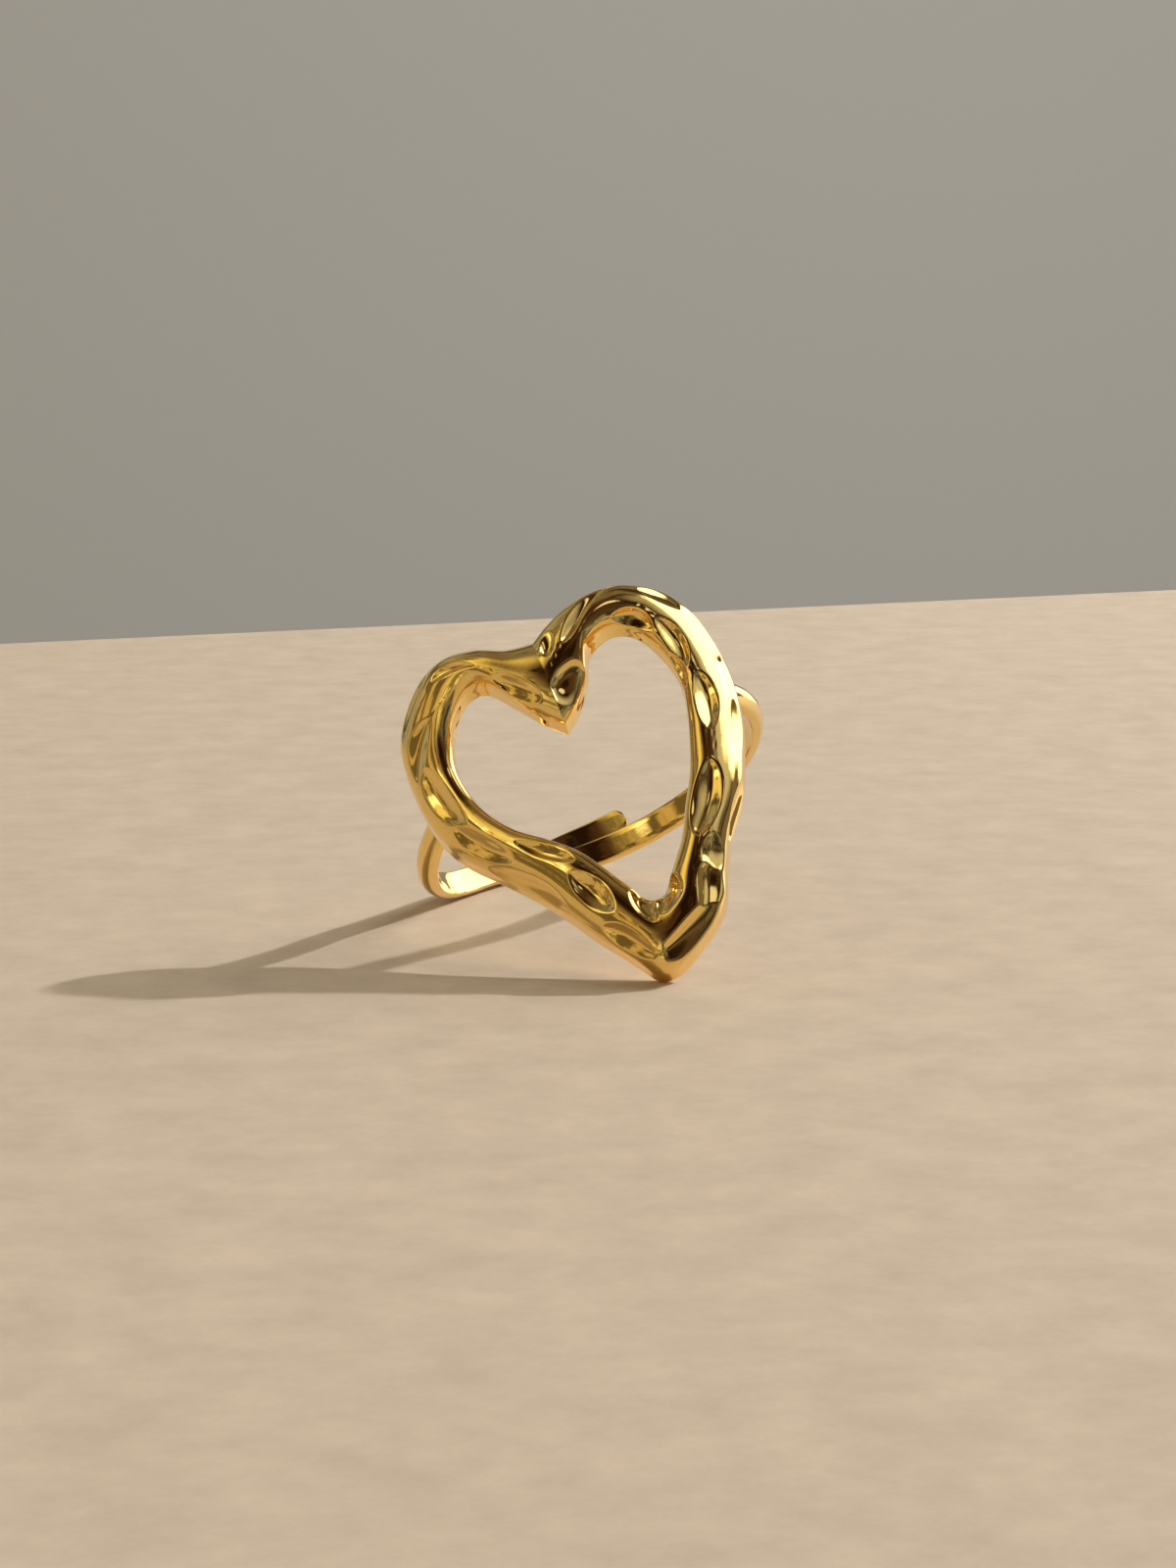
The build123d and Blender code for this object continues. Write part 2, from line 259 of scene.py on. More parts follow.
class BandSizes(bpy.types.PropertyGroup):
    """Sizes of the open band"""

    finger: length_property("Finger radius", "Inner radius of the band", 9.1)
    shift: length_property("Shift", "How far the finger lies to the right of the heart's middle", 0.22)
    gap: length_property("Gap to heart", "From the heart's back to the finger", 2.3)
    edge: length_property("Edge thickness", "Thickness of the band along its edges", 0.48)
    crown: length_property("Crown", "How far the outside bulges", 0.42)
    width: length_property("Width", "Width of the band along the finger", 1.45)
    rounding: length_property("Edge rounding", "Rounding of the band's long edges", 0.1)
    root_depth: length_property("Root depth", "How deep an arm runs into the heart", 0.9)
    flare: length_property("Root flare", "Extra width where an arm meets the heart", 0.35)
    flare_length: length_property("Flare length", "Length over which the flare fades", 6.0)
    end_round: length_property("End rounding", "Radius of the free ends", 0.6)
    right_height: length_property("Right height", "Height of the right arm beside the heart", 0.52)
    right_rise: length_property("Right rise", "How far the right arm climbs in 100 degrees", 0.9)
    left_height: length_property("Left height", "Height of the left arm beside the heart", 0.0)
    left_end_height: length_property("Left end height", "Height of the left arm's free end", 3.1)
    left_spread: length_property("Left spread", "How far the left arm's end stands off the finger", 1.45)


class GoldFinish(bpy.types.PropertyGroup):
    """Look of the polished gold"""

    light: colour_property("Light gold", "Colour of most of the metal", (0.93, 0.69, 0.26))
    deep: colour_property("Deep gold", "Colour of its warmer patches", (0.89, 0.58, 0.17))
    smooth: factor_property("Polish", "Roughness of the polished metal", 0.035)
    worn: factor_property("Wear", "Roughness of its duller patches", 0.10)
    ripple: factor_property("Ripple", "Strength of the fine ripples left by casting", 0.10)


class StudioSettings(bpy.types.PropertyGroup):
    """Floor, wall and light"""

    floor: colour_property("Floor", "Colour of the floor", (0.655, 0.526, 0.396))
    wall: colour_property("Wall", "Colour of the wall", (0.88, 0.89, 0.92))
    key: bpy.props.FloatProperty(
        name="Key light", description="Power of the key light", default=3.1, min=0.0, unit="POWER"
    )


def spline(rows, share):
    """Row at a share of the way along a table, on a smooth curve through its rows."""
    last = len(rows) - 1
    place = share * last
    index = min(int(place), last - 1)
    u = place - index
    b, c = np.array(rows[index]), np.array(rows[index + 1])
    a = np.array(rows[index - 1]) if index else 2 * b - c
    d = np.array(rows[index + 2]) if index + 2 <= last else 2 * c - b
    return 0.5 * (2 * b + (c - a) * u + (2 * a - 5 * b + 4 * c - d) * u**2 + (3 * b - a - 3 * c + d) * u**3)


def edges(side, along):
    """Outer and inner edge of the frame as shares, with the tip's corner rounded off."""
    rows, others = (left_rows, right_rows) if side < 0 else (right_rows, left_rows)
    start = 1 - TIP_SOFT
    if along <= start:
        return spline(rows, along)
    u = (along - start) / TIP_SOFT / 2
    before, corner, after = spline(rows, start), np.array(rows[-1]), spline(others, start)
    return (1 - u) ** 2 * before + 2 * u * (1 - u) * corner + u**2 * after


def frame_edges(side, along, sizes):
    """Outer and inner edge of the heart's frame as (x, z)."""
    outer_x, outer_z, inner_x, inner_z = edges(side, along)
    half = sizes.width / 2
    outer = np.array((outer_x * half, outer_z * sizes.height))
    inner = np.array((inner_x * half, inner_z * sizes.height))
    return outer, inner


def half_length(side, sizes):
    """Length of half the frame, measured along its middle."""
    shares = np.arange(LENGTH_STEPS + 1) / LENGTH_STEPS
    middles = [sum(frame_edges(side, share, sizes)) / 2 for share in shares]
    return sum(np.linalg.norm(q - p) for p, q in zip(middles, middles[1:]))


def frame_section(width, sizes):
    """Front of the frame's section as (across, y), from its inner back edge to its outer one."""
    r = sizes.back_round
    turn = np.linspace(0, pi / 2, ROUND_STEPS + 1)[:-1]
    corner = np.stack([r - r * np.sin(turn), r * np.cos(turn) - r], axis=1)
    wall_y = np.linspace(-r, -sizes.wall, WALL_STEPS + 1)[:-1]
    wall = np.stack([np.zeros(WALL_STEPS), wall_y], axis=1)
    turn = np.linspace(0, pi, DOME_STEPS + 1)
    rise = (sizes.depth - sizes.wall) * np.abs(np.sin(turn)) ** sizes.fullness
    dome = np.stack([width * (1 - np.cos(turn)) / 2, -sizes.wall - rise], axis=1)
    side = np.concatenate([corner, wall])
    other = side[::-1] * (-1, 1) + (width, 0)
    return np.concatenate([side, dome, other])


def hollow_depth(side, along, around, length, sizes):
    """Depth of the hollows at the places of one section: almonds with a crisp rim."""
    deepest = np.zeros(len(around))
    for hollow in hollows:
        run = (along - hollow.along) * length
        if hollow.side != side or abs(run) > hollow.length * sizes.height:
            continue
        turn = radians(hollow.skew)
        over = around - hollow.around * (sizes.wall + sizes.depth)
        u = (run * cos(turn) + over * sin(turn)) / (hollow.length * sizes.height / 2)
        v = (over * cos(turn) - run * sin(turn)) / (hollow.width * sizes.depth / 2)
        lens = np.maximum(1 - u * u, THINNEST_LENS) ** HOLLOW_FULLNESS
        bowl = lens - v * v / lens
        bowl = (bowl + np.sqrt(bowl**2 + sizes.ridge**2)) / 2
        deepest = np.maximum(deepest, hollow.depth * sizes.depth * bowl)
    return deepest


def section_in_space(points, inner, outer):
    """Points of a section, given as (across, y), in their place between the frame's edges."""
    flat = inner + (outer - inner) * (points[:, :1] / np.linalg.norm(outer - inner))
    return np.stack([flat[:, 0], points[:, 1], flat[:, 1]], axis=1)


def bowed(x, y, z, sizes):
    """Points carried back and up towards the heart's sides, so that it follows the finger."""
    back = sizes.bow * (x / (sizes.width / 2)) ** 2
    return np.stack([x + back * sizes.bow_right, y + back, z + back * sizes.bow_rise], axis=-1)


def frame_ring(side, along, length, sizes):
    """Points of one closed section of the frame in space, with the hollows pressed in."""
    outer, inner = frame_edges(side, along, sizes)
    width = np.linalg.norm(outer - inner)
    points = frame_section(width, sizes)
    arc = np.concatenate([[0], np.cumsum(np.linalg.norm(np.diff(points, axis=0), axis=1))])
    core = np.array((width / 2, -sizes.core))
    reach = np.linalg.norm(core - points, axis=1)
    fade = np.clip((-points[:, 1] - sizes.back_round) / HOLLOW_FADE, 0, 1)
    sunk = hollow_depth(side, along, arc - arc[-1] / 2, length, sizes)
    spots = section_in_space(points, inner, outer) / sizes.wave_length
    waves = np.array([snoise(Vector(spot)) for spot in spots])
    sunk = (sunk + sizes.wave * (1 + waves) / 2) * fade
    points = points + (core - points) * (sunk / reach)[:, None]
    back = np.linspace(points[-1], points[0], BACK_STEPS + 1)[1:-1]
    ring = section_in_space(np.concatenate([points, back]), inner, outer)
    return bowed(*ring.T, sizes)


def heart_points(sizes, sections):
    """Every section in turn: down the left half, then up the right half."""
    lengths = {side: half_length(side, sizes) for side in (-1, 1)}
    places = [(-1, k / sections) for k in range(sections)]
    places += [(1, 1 - k / sections) for k in range(sections)]
    return np.array([frame_ring(side, along, lengths[side], sizes) for side, along in places])


def ease(share):
    """Soft step from 0 to 1."""
    share = min(max(share, 0.0), 1.0)
    return share * share * (3 - 2 * share)


def arm_point(side, angle, band, radius_offset=0.0, height_offset=0.0):
    """Point on an arm's inner face."""
    radius = band.finger + radius_offset
    height = band.right_height + band.right_rise * angle / 100
    if side < 0:
        climb = ease((LEFT_CLIMB_START - angle) / LEFT_CLIMB_SWEEP)
        radius += band.left_spread * ease((LEFT_SPREAD_START - angle) / LEFT_SPREAD_SWEEP)
        height = band.left_height + (band.left_end_height - band.left_height) * climb
    turn = radians(angle)
    middle = band.finger + band.gap
    return np.array((band.shift + radius * cos(turn), middle + radius * sin(turn), height + height_offset))


def arm_axis(arm, heart, band):
    """Inner line of an arm, from inside the heart's frame, round the finger to its free end."""
    outer, inner = frame_edges(arm.side, ROOT_PLACE, heart)
    root_x, start, _ = bowed((outer[0] + inner[0]) / 2, -band.root_depth, 0, heart)
    rounding = arm.side * degrees(band.end_round / band.finger)
    sweep = arm.end - rounding - arm.root
    angles = [arm.root + sweep * k / ARM_STEPS for k in range(ARM_STEPS)]
    ends = [sin(pi / 2 * k / ARM_END_STEPS) for k in range(ARM_END_STEPS + 1)]
    angles += [arm.end - rounding * (1 - share) for share in ends]
    curve = [arm_point(arm.side, angle, band) for angle in angles]
    join, leaving = curve[0], curve[1] - curve[0]
    rise = join[1] - start
    slope = leaving[0] / leaving[1] * rise
    root = []
    for t in np.arange(ARM_ROOT_STEPS) / ARM_ROOT_STEPS:
        away = ease(t)
        across = root_x + (join[0] - root_x) * away + slope * (t**3 - t**2)
        root.append(np.array((across, start + rise * t, join[2])))
    return np.array(root + curve)


def arm_breadth(run, total, band):
    """Width of an arm as a share of the band's: flared at the root, half round at the end."""
    flare = band.flare * (1 - ease(run / band.flare_length))
    past = max(run - (total - band.end_round), 0.0)
    narrowing = 2 * (band.end_round - sqrt(max(band.end_round**2 - past**2, 0.0)))
    return (band.width + flare - narrowing) / band.width


def rest_axes(heart, band):
    """Tip and axes of the ring at rest on the heart's tip, the left arm and the right arm's end."""
    tip = frame_ring(-1, TIP_TOUCH, half_length(-1, heart), heart)[-BACK_STEPS - ROUND_STEPS]
    low = arm_point(-1, LEFT_TOUCH, band, band.edge, -band.width / 2)
    high = arm_point(1, RIGHT_TOUCH, band, band.edge, -RIGHT_TOUCH_BELOW * MM)
    up = np.cross(high - tip, low - tip)
    up /= np.linalg.norm(up)
    across = np.array((1.0, 0.0, 0.0)) - up * up[0]
    across /= np.linalg.norm(across)
    return tip, np.array((across, np.cross(up, across), up))


def rest_placement(heart, band):
    """Matrix that lays the ring on the floor, in the middle of the solid's box."""
    tip, axes = rest_axes(heart, band)
    clouds = [heart_points(heart, COARSE_SECTIONS).reshape(-1, 3)]
    for arm in arms.values():
        line = arm_axis(arm, heart, band)
        away = line - (band.shift, band.finger + band.gap, 0)
        away[:, 2] = 0
        away /= np.linalg.norm(away, axis=1)[:, None]
        for up in (-1, 1):
            clouds.append(line + away * band.edge + (0, 0, up * band.width / 2))
            clouds.append(line + away * (band.edge + band.crown))
    turned = (np.concatenate(clouds) - tip) @ axes.T
    low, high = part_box(SOLID)
    middle = (turned.min(0) + turned.max(0)) / 2
    goal = (low + high) / 2
    shift = np.array((goal.x - middle[0], goal.y - middle[1], low.z - turned[:, 2].min()))
    matrix = Matrix(axes.tolist()).to_4x4()
    matrix.translation = Vector(shift - axes @ tip)
    return matrix


def make_mesh_object(name, points, faces, material):
    """Object at the origin with its place in its mesh."""
    mesh = bpy.data.meshes.new(name)
    mesh.from_pydata([tuple(p) for p in points], [], faces)
    mesh.update()
    mesh.materials.append(material)
    thing = bpy.data.objects.new(name, mesh)
    bpy.context.scene.collection.objects.link(thing)
    return thing


def fresh_material(name):
    """New material, its node tree and its Principled shader."""
    material = bpy.data.materials.new(name)
    material.use_nodes = True
    tree = material.node_tree
    return material, tree, tree.nodes["Principled BSDF"]


def noise(tree, place, pattern):
    """Noise on the given coordinates; returns its strength."""
    texture = tree.nodes.new("ShaderNodeTexNoise")
    texture.inputs["Scale"].default_value = pattern.scale
    texture.inputs["Detail"].default_value = pattern.detail
    texture.inputs["Roughness"].default_value = pattern.roughness
    tree.links.new(place, texture.inputs["Vector"])
    return texture.outputs["Fac"]


def noise_between(tree, place, pattern, lowest, highest):
    """Noise whose used stretch runs from the lowest to the highest value."""
    spread = tree.nodes.new("ShaderNodeMapRange")
    spread.inputs["From Min"].default_value = pattern.low
    spread.inputs["From Max"].default_value = pattern.high
    spread.inputs["To Min"].default_value = lowest
    spread.inputs["To Max"].default_value = highest
    tree.links.new(noise(tree, place, pattern), spread.inputs["Value"])
    return spread


def tint_node(tree, first, second, factor):
    """Mix of two colours."""
    tint = tree.nodes.new("ShaderNodeMix")
    tint.data_type = "RGBA"
    tint.inputs["A"].default_value = (*first, 1)
    tint.inputs["B"].default_value = (*second, 1)
    tree.links.new(factor, tint.inputs["Factor"])
    return tint.outputs["Result"]


def gold_material(finish):
    """Mirror-polished yellow gold with warmer patches, faint wear and cast ripples."""
    material, tree, shader = fresh_material("polished_gold")
    place = tree.nodes.new("ShaderNodeTexCoord").outputs["Object"]
    shader.inputs["Metallic"].default_value = 1.0
    colour = tint_node(tree, finish.light, finish.deep, noise(tree, place, GOLD_PATCHES))
    dull = noise_between(tree, place, GOLD_WEAR, finish.smooth, finish.worn)
    bump = tree.nodes.new("ShaderNodeBump")
    bump.inputs["Strength"].default_value = finish.ripple
    bump.inputs["Distance"].default_value = RIPPLE_HEIGHT
    link_nodes(
        tree,
        (colour, shader.inputs["Base Color"]),
        (dull.outputs["Result"], shader.inputs["Roughness"]),
        (noise(tree, place, GOLD_RIPPLES), bump.inputs["Height"]),
        (bump.outputs["Normal"], shader.inputs["Normal"]),
    )
    return material


def shared_gold():
    """The one gold of the ring, made when it is first asked for."""
    return bpy.data.materials.get("polished_gold") or gold_material(bpy.context.scene.ring_gold)


def finish_piece(piece):
    """Ties a finished piece to the resting ring."""
    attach(piece, "root")
    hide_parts(SOLID)


class RING_OT_heart(bpy.types.Operator):
    """Make the hammered heart frame"""

    bl_idname = "ring.heart"
    bl_label = "Heart frame"

    def execute(self, context):
        sizes = context.scene.ring_heart
        rings = heart_points(sizes, SECTIONS_PER_HALF)
        count, around = rings.shape[:2]
        faces = []
        for i in range(count):
            j = (i + 1) % count
            for k in range(around):
                n = (k + 1) % around
                faces.append((i * around + k, i * around + n, j * around + n, j * around + k))
        piece = make_mesh_object("heart_frame", rings.reshape(-1, 3), faces, shared_gold())
        piece.data.shade_smooth()
        piece.data.transform(rest_placement(sizes, context.scene.ring_band))
        point_faces_outwards(piece)
        finish_piece(piece)
        return {"FINISHED"}


def point_faces_outwards(piece):
    """Turns a closed mesh the right way out."""
    mesh = piece.data
    volume = 0.0
    for face in mesh.polygons:
        corners = [mesh.vertices[i].co for i in face.vertices]
        for b, c in zip(corners[1:], corners[2:]):
            volume += corners[0].dot(b.cross(c))
    if volume < 0:
        mesh.flip_normals()
    mesh.update()


def link_nodes(tree, *pairs):
    """Links each output to its input."""
    for start, end in pairs:
        tree.links.new(start, end)


def math_node(tree, operation, first, second=None):
    """Math node on numbers or sockets; returns its result."""
    node = tree.nodes.new("ShaderNodeMath")
    node.operation = operation
    for socket, value in zip(node.inputs, (first, second)):
        if value is None:
            continue
        if isinstance(value, (int, float)):
            socket.default_value = value
        else:
            tree.links.new(value, socket)
    return node.outputs[0]


def band_profile(tree, given):
    """Section of the band: flat towards the finger, crowned outside, with rounded edges."""
    nodes = tree.nodes
    box = nodes.new("GeometryNodeCurvePrimitiveQuadrilateral")
    link_nodes(tree, (given["Edge thickness"], box.inputs["Width"]), (given["Width"], box.inputs["Height"]))
    rounded = nodes.new("GeometryNodeFilletCurve")
    rounded.mode = "POLY"
    rounded.inputs["Count"].default_value = 4
    finer = nodes.new("GeometryNodeSubdivideCurve")
    finer.inputs["Cuts"].default_value = 3
    link_nodes(
        tree,
        (box.outputs["Curve"], rounded.inputs["Curve"]),
        (given["Edge rounding"], rounded.inputs["Radius"]),
        (rounded.outputs["Curve"], finer.inputs["Curve"]),
    )
    place = nodes.new("ShaderNodeSeparateXYZ")
    link_nodes(tree, (nodes.new("GeometryNodeInputPosition").outputs[0], place.inputs[0]))
    half_width = math_node(tree, "DIVIDE", given["Width"], 2.0)
    off_middle = math_node(tree, "DIVIDE", place.outputs["Y"], half_width)
    bulge = math_node(tree, "SUBTRACT", 1.0, math_node(tree, "MULTIPLY", off_middle, off_middle))
    outside = math_node(tree, "DIVIDE", place.outputs["X"], given["Edge thickness"])
    outside = math_node(tree, "ADD", outside, 0.5)
    lift = math_node(tree, "MULTIPLY", math_node(tree, "MULTIPLY", bulge, outside), given["Crown"])
    shift = math_node(tree, "ADD", lift, math_node(tree, "DIVIDE", given["Edge thickness"], 2.0))
    offset = nodes.new("ShaderNodeCombineXYZ")
    moved = nodes.new("GeometryNodeSetPosition")
    link_nodes(
        tree,
        (shift, offset.inputs["X"]),
        (finer.outputs["Curve"], moved.inputs["Geometry"]),
        (offset.outputs[0], moved.inputs["Offset"]),
    )
    return moved.outputs["Geometry"]


def band_tree():
    """Geometry nodes that sweep the band's section along an arm's middle line."""
    tree = bpy.data.node_groups.new("band_arm", "GeometryNodeTree")
    face = tree.interface
    face.new_socket("Geometry", in_out="OUTPUT", socket_type="NodeSocketGeometry")
    face.new_socket("Geometry", in_out="INPUT", socket_type="NodeSocketGeometry")
    for name in ("Width", "Edge thickness", "Crown", "Edge rounding"):
        face.new_socket(name, in_out="INPUT", socket_type="NodeSocketFloat")
    face.new_socket("Metal", in_out="INPUT", socket_type="NodeSocketMaterial")
    nodes = tree.nodes
    given = nodes.new("NodeGroupInput").outputs
    line = nodes.new("GeometryNodeMeshToCurve")
    upright = nodes.new("GeometryNodeSetCurveNormal")
    upright.mode = "Z_UP"
    middle = nodes.new("GeometryNodeCaptureAttribute")
    middle.capture_items.new("VECTOR", "Middle")
    sweep = nodes.new("GeometryNodeCurveToMesh")
    sweep.inputs["Fill Caps"].default_value = True
    link_nodes(
        tree,
        (given["Geometry"], line.inputs["Mesh"]),
        (line.outputs["Curve"], upright.inputs["Curve"]),
        (upright.outputs["Curve"], middle.inputs["Geometry"]),
        (nodes.new("GeometryNodeInputPosition").outputs[0], middle.inputs["Middle"]),
        (middle.outputs["Geometry"], sweep.inputs["Curve"]),
        (band_profile(tree, given), sweep.inputs["Profile Curve"]),
    )
    breadth = nodes.new("GeometryNodeInputNamedAttribute")
    breadth.inputs["Name"].default_value = "breadth"
    away = nodes.new("ShaderNodeVectorMath")
    away.operation = "SUBTRACT"
    height = nodes.new("ShaderNodeSeparateXYZ")
    link_nodes(
        tree,
        (nodes.new("GeometryNodeInputPosition").outputs[0], away.inputs[0]),
        (middle.outputs["Middle"], away.inputs[1]),
        (away.outputs[0], height.inputs[0]),
    )
    widening = math_node(tree, "SUBTRACT", breadth.outputs["Attribute"], 1.0)
    stretch = nodes.new("ShaderNodeCombineXYZ")
    shaped = nodes.new("GeometryNodeSetPosition")
    smooth = nodes.new("GeometryNodeSetShadeSmooth")
    whole = nodes.new("GeometryNodeRealizeInstances")
    metal = nodes.new("GeometryNodeSetMaterial")
    out = nodes.new("NodeGroupOutput")
    link_nodes(
        tree,
        (math_node(tree, "MULTIPLY", height.outputs["Z"], widening), stretch.inputs["Z"]),
        (stretch.outputs[0], shaped.inputs["Offset"]),
        (sweep.outputs["Mesh"], shaped.inputs["Geometry"]),
        (shaped.outputs["Geometry"], smooth.inputs["Geometry"]),
        (smooth.outputs["Geometry"], whole.inputs["Geometry"]),
        (whole.outputs["Geometry"], metal.inputs["Geometry"]),
        (given["Metal"], metal.inputs["Material"]),
        (metal.outputs["Geometry"], out.inputs["Geometry"]),
    )
    return tree


def set_tree_inputs(modifier, values):
    """Sets a node modifier's inputs by their sockets' identifiers."""
    sockets = modifier.node_group.interface.items_tree
    identifiers = {item.name: item.identifier for item in sockets if item.in_out == "INPUT"}
    for name, value in values.items():
        modifier[identifiers[name]] = value


def plain_copy(source, name):
    """Plain mesh object of what the source shows; the source is deleted."""
    bpy.context.view_layer.update()
    shown = source.evaluated_get(bpy.context.evaluated_depsgraph_get())
    mesh = bpy.data.meshes.new_from_object(shown, preserve_all_data_layers=False)
    bpy.data.objects.remove(source)
    mesh.name = name
    piece = bpy.data.objects.new(name, mesh)
    bpy.context.scene.collection.objects.link(piece)
    return piece


class RING_OT_band(bpy.types.Operator):
    """Make the two arms of the open band"""

    bl_idname = "ring.band"
    bl_label = "Open band"

    def execute(self, context):
        heart, band = context.scene.ring_heart, context.scene.ring_band
        placement = rest_placement(heart, band)
        tree = band_tree()
        for name, arm in arms.items():
            axis = arm_axis(arm, heart, band)
            runs = np.concatenate([[0], np.cumsum(np.linalg.norm(np.diff(axis, axis=0), axis=1))])
            widths = [arm_breadth(run, runs[-1], band) for run in runs]
            if arm.side < 0:  # both lines run the same way round, so the crown is outside on both
                axis, widths = axis[::-1], widths[::-1]
            mesh = bpy.data.meshes.new("middle_line")
            mesh.from_pydata([tuple(p) for p in axis], [(k, k + 1) for k in range(len(axis) - 1)], [])
            mesh.attributes.new("breadth", "FLOAT", "POINT").data.foreach_set("value", widths)
            line = bpy.data.objects.new("middle_line", mesh)
            context.scene.collection.objects.link(line)
            modifier = line.modifiers.new("band_arm", "NODES")
            modifier.node_group = tree
            values = {
                "Width": band.width, "Edge thickness": band.edge, "Crown": band.crown,
                "Edge rounding": band.rounding, "Metal": shared_gold(),
            }
            set_tree_inputs(modifier, values)
            piece = plain_copy(line, name)
            if not piece.data.polygons:
                raise RuntimeError(f"{name} came out empty")
            piece.data.transform(placement)
            point_faces_outwards(piece)
            finish_piece(piece)
        return {"FINISHED"}


def floor_material(studio):
    """Pale floor with a faint mottle."""
    material, tree, shader = fresh_material("pale_floor")
    place = tree.nodes.new("ShaderNodeTexCoord").outputs["Object"]
    mottle = noise_between(tree, place, FLOOR_MOTTLE, 0.0, 1.0)
    lighter = [min(share * FLOOR_LIGHTER, 1.0) for share in studio.floor]
    colour = tint_node(tree, studio.floor, lighter, mottle.outputs["Result"])
    tree.links.new(colour, shader.inputs["Base Color"])
    shader.inputs["Roughness"].default_value = 0.55
    shader.inputs["Specular IOR Level"].default_value = 0.25
    return material


def wall_material(studio):
    """Plain matt wall."""
    material, _, shader = fresh_material("plain_wall")
    shader.inputs["Base Color"].default_value = (*studio.wall, 1)
    shader.inputs["Roughness"].default_value = 0.9
    return material


def way_towards(azimuth, height):
    """Unit vector by its angle round from X towards Y and its height above the floor, in degrees."""
    turn, rise = radians(azimuth), radians(height)
    return Vector((cos(turn) * cos(rise), sin(turn) * cos(rise), sin(rise)))


def add_key_light(power):
    """Small light, far off, that throws the ring's shadow."""
    light = bpy.data.lights.new("key", "AREA")
    light.shape = "RECTANGLE"
    light.size = light.size_y = KEY_SIZE
    light.energy = power
    light.color = KEY_COLOUR
    lamp = bpy.data.objects.new("key", light)
    direction = way_towards(KEY_AZIMUTH, KEY_HEIGHT)
    lamp.location = KEY_AIM + direction * KEY_DISTANCE
    lamp.rotation_mode = "QUATERNION"
    lamp.rotation_quaternion = direction.to_track_quat("Z", "Y")
    bpy.context.scene.collection.objects.link(lamp)


def lay_patches(tree, way, colour, patches):
    """Nodes that lay soft round patches over a colour; returns the new colour."""
    nodes = tree.nodes
    for patch in patches:
        toward = nodes.new("ShaderNodeVectorMath")
        toward.operation = "DOT_PRODUCT"
        toward.inputs[1].default_value = way_towards(patch.azimuth, patch.height)
        edge = nodes.new("ShaderNodeMapRange")
        edge.interpolation_type = "SMOOTHSTEP"
        edge.inputs["From Min"].default_value = cos(radians(patch.outer))
        edge.inputs["From Max"].default_value = cos(radians(patch.inner))
        edge.inputs["To Max"].default_value = patch.cover
        laid = nodes.new("ShaderNodeMix")
        laid.data_type = "RGBA"
        laid.inputs["B"].default_value = (*patch.colour, 1)
        link_nodes(
            tree,
            (way, toward.inputs[0]),
            (toward.outputs["Value"], edge.inputs["Value"]),
            (edge.outputs["Result"], laid.inputs["Factor"]),
            (colour, laid.inputs["A"]),
        )
        colour = laid.outputs["Result"]
    return colour


def dress_world():
    """Dim, uneven room of soft patches with a bright window to the right."""
    world = bpy.data.worlds.new("quiet_room")
    world.use_nodes = True
    bpy.context.scene.world = world
    tree = world.node_tree
    nodes = tree.nodes
    nodes.clear()
    way = nodes.new("ShaderNodeTexCoord").outputs["Generated"]
    base = nodes.new("ShaderNodeRGB").outputs[0]
    base.default_value = (*ROOM_BASE, 1)
    room = lay_patches(tree, way, base, room_patches)
    shade = noise_between(tree, way, ROOM_MOTTLE, ROOM_DIMMEST, ROOM_BRIGHTEST)
    shade.interpolation_type = "SMOOTHSTEP"
    shaded = nodes.new("ShaderNodeVectorMath")
    shaded.operation = "SCALE"
    background = nodes.new("ShaderNodeBackground")
    out = nodes.new("ShaderNodeOutputWorld")
    link_nodes(
        tree,
        (room, shaded.inputs[0]),
        (shade.outputs["Result"], shaded.inputs["Scale"]),
    )
    lit = lay_patches(tree, way, shaded.outputs["Vector"], window_patches)
    link_nodes(tree, (lit, background.inputs["Color"]), (background.outputs[0], out.inputs["Surface"]))


def add_camera():
    """Camera at the photographed angle, a hand's breadth above the floor."""
    data = bpy.data.cameras.new("camera")
    data.sensor_fit = "AUTO"
    data.sensor_width = CAMERA_FILM
    data.lens = CAMERA_LENS
    data.clip_start, data.clip_end = 0.01, 10.0
    camera = bpy.data.objects.new("camera", data)
    up = CAMERA_RIGHT.cross(CAMERA_AHEAD)
    turn = Matrix((CAMERA_RIGHT, up, -CAMERA_AHEAD)).transposed()
    camera.matrix_world = Matrix.Translation(CAMERA_PLACE) @ turn.to_4x4()
    bpy.context.scene.collection.objects.link(camera)
    bpy.context.scene.camera = camera


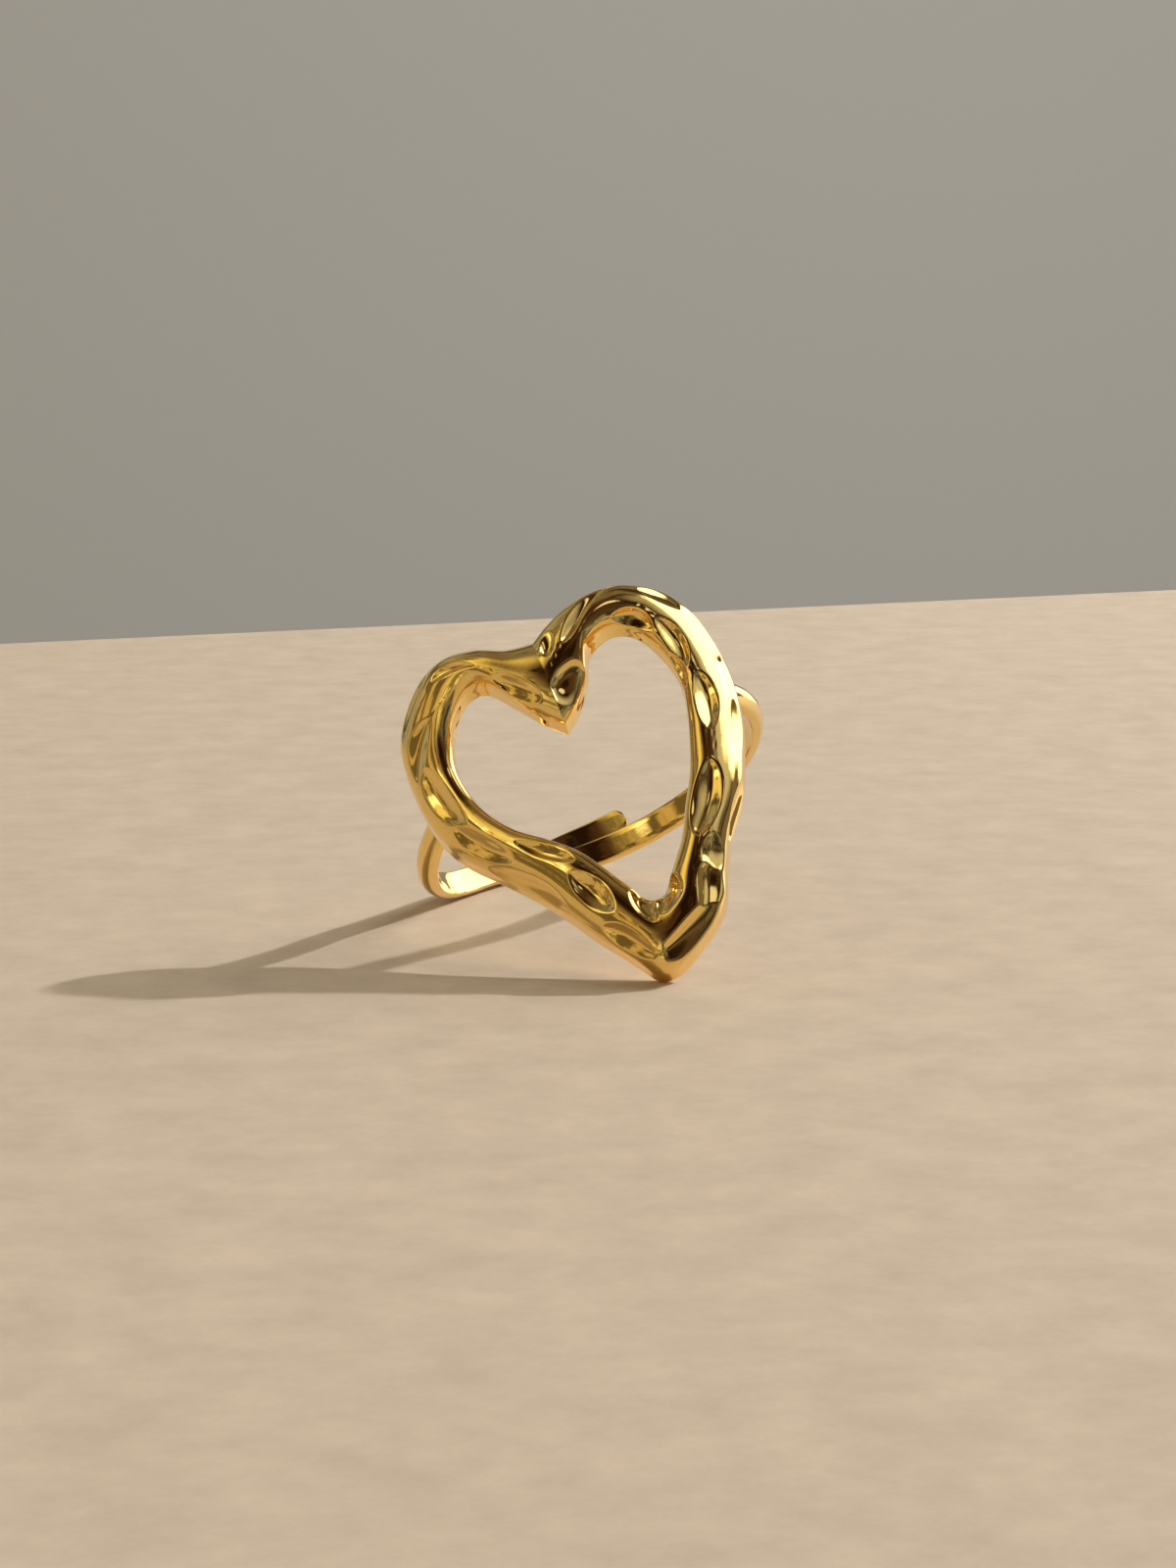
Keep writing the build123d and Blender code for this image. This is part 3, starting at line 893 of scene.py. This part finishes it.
def make_sheet(name, near, far, material):
    """Flat rectangle between two corners, lying or upright."""
    low = (far[0], near[1], near[2])
    high = (near[0], far[1], far[2])
    return make_mesh_object(name, [near, low, far, high], [(0, 1, 2, 3)], material)


class RING_OT_stage(bpy.types.Operator):
    """Make the floor, the wall, the light and the camera"""

    bl_idname = "ring.stage"
    bl_label = "Studio"

    def execute(self, context):
        studio = context.scene.ring_studio
        floor = make_sheet(
            "floor", (-FLOOR_HALF, -FLOOR_HALF, 0), (FLOOR_HALF, FLOOR_EDGE, 0), floor_material(studio)
        )
        floor.data.transform(Matrix.Rotation(radians(STUDIO_TURN), 4, "Z"))
        wall = make_sheet(
            "wall", (WALL_LEFT, WALL_BACK, WALL_LOW), (WALL_RIGHT, WALL_BACK, WALL_TOP), wall_material(studio)
        )
        add_key_light(studio.key)
        dress_world()
        add_camera()
        context.scene.view_settings.view_transform = "Standard"
        return {"FINISHED"}


class RING_PT_sidebar(bpy.types.Panel):
    """Sizes, finish and steps of the heart ring"""

    bl_idname = "RING_PT_sidebar"
    bl_label = "Heart ring"
    bl_space_type = "VIEW_3D"
    bl_region_type = "UI"
    bl_category = "Heart ring"

    def draw(self, context):
        groups = {
            "Heart": context.scene.ring_heart, "Band": context.scene.ring_band,
            "Gold": context.scene.ring_gold, "Studio": context.scene.ring_studio,
        }
        for title, group in groups.items():
            box = self.layout.box()
            box.label(text=title)
            for key in group.__annotations__:
                box.prop(group, key)
        for operator in (RING_OT_heart, RING_OT_band, RING_OT_stage):
            self.layout.operator(operator.bl_idname)


settings = {
    "ring_heart": HeartSizes, "ring_band": BandSizes, "ring_gold": GoldFinish, "ring_studio": StudioSettings,
}
classes = [*settings.values(), RING_OT_heart, RING_OT_band, RING_OT_stage, RING_PT_sidebar]


def register():
    for cls in classes:
        bpy.utils.register_class(cls)
    for name, group in settings.items():
        setattr(bpy.types.Scene, name, bpy.props.PointerProperty(type=group))


def unregister():
    for name in settings:
        delattr(bpy.types.Scene, name)
    for cls in reversed(classes):
        bpy.utils.unregister_class(cls)


def main():
    register()
    bpy.ops.ring.heart()
    bpy.ops.ring.band()
    bpy.ops.ring.stage()


if __name__ == "__main__":
    main()
